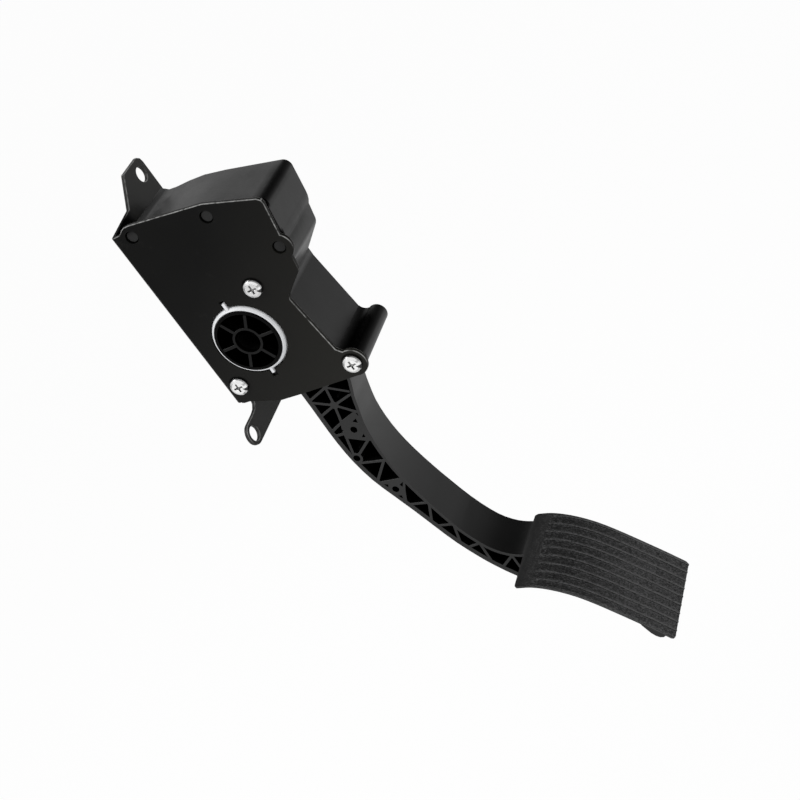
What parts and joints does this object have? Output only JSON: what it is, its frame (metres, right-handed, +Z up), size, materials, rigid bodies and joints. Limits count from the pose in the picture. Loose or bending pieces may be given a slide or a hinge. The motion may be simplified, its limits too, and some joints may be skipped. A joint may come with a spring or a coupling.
{
  "type": "accelerator pedal",
  "caption": "Hanging accelerator pedal with a folded steel bracket, a moulded sprung hub casing, a lattice arm and a ribbed pad; contactless sensor behind.",
  "frame": {"origin": "on the bracket's mounting face, level with the pivot axis and on the arm's mid-plane", "axes": "+X from the mounting face towards the driver, +Z up, +Y across the vehicle, away from the side plate that carries the screws"},
  "size_m": [0.1291, 0.0663, 0.2826],
  "materials": {
    "black_coated_steel": "satin black coat on steel sheet",
    "black_moulding": "black fibre-filled moulding",
    "plated_screw": "bright zinc plate",
    "white_bush": "white sliding plastic",
    "arm_moulding": "dark grey fibre-filled moulding",
    "grey_moulding": "grey moulding",
    "spring_wire": "drawn spring wire",
    "lever_moulding": "black moulding",
    "lining": "friction lining",
    "ground_pin": "ground steel",
    "stop_rubber": "black rubber",
    "magnet": "sintered magnet",
    "cover_moulding": "black moulding",
    "seal_rubber": "orange seal rubber",
    "board": "green circuit board",
    "chip_moulding": "chip moulding",
    "pin_metal": "tinned brass",
    "cover_screw_metal": "dark plated steel"
  },
  "bodies": {
    "housing_body": {"mounting_bracket": "black_coated_steel", "housing": "black_moulding", "upper_bracket_screw": "plated_screw", "lower_bracket_screw": "plated_screw", "front_bracket_screw": "plated_screw", "near_bush": "white_bush", "far_bush": "white_bush", "outer_spring": "spring_wire", "inner_spring": "spring_wire", "friction_lever": "lever_moulding", "friction_lining": "lining", "lever_pin_shaft": "ground_pin", "idle_stop_pad": "stop_rubber", "full_stop_pad": "stop_rubber", "sensor_cover": "cover_moulding", "sensor_seal": "seal_rubber", "sensor_board": "board", "hall_sensors": "chip_moulding", "connector_pins": "pin_metal", "cover_screws": "cover_screw_metal"},
    "pedal": {"pedal_arm": "arm_moulding", "spring_seat": "grey_moulding", "magnet_carrier": "grey_moulding", "magnets": "magnet"}
  },
  "joints": [
    {"name": "pedal_hinge", "type": "hinge", "parent": "housing_body", "child": "pedal", "pos_m": [0.027, 0, 0], "axis": [0, 1, 0], "range_deg": [0, 15], "stiffness_Nm_per_rad": 6, "springref_deg": -34.38, "deforming": ["outer_spring", "inner_spring"]}
  ]
}
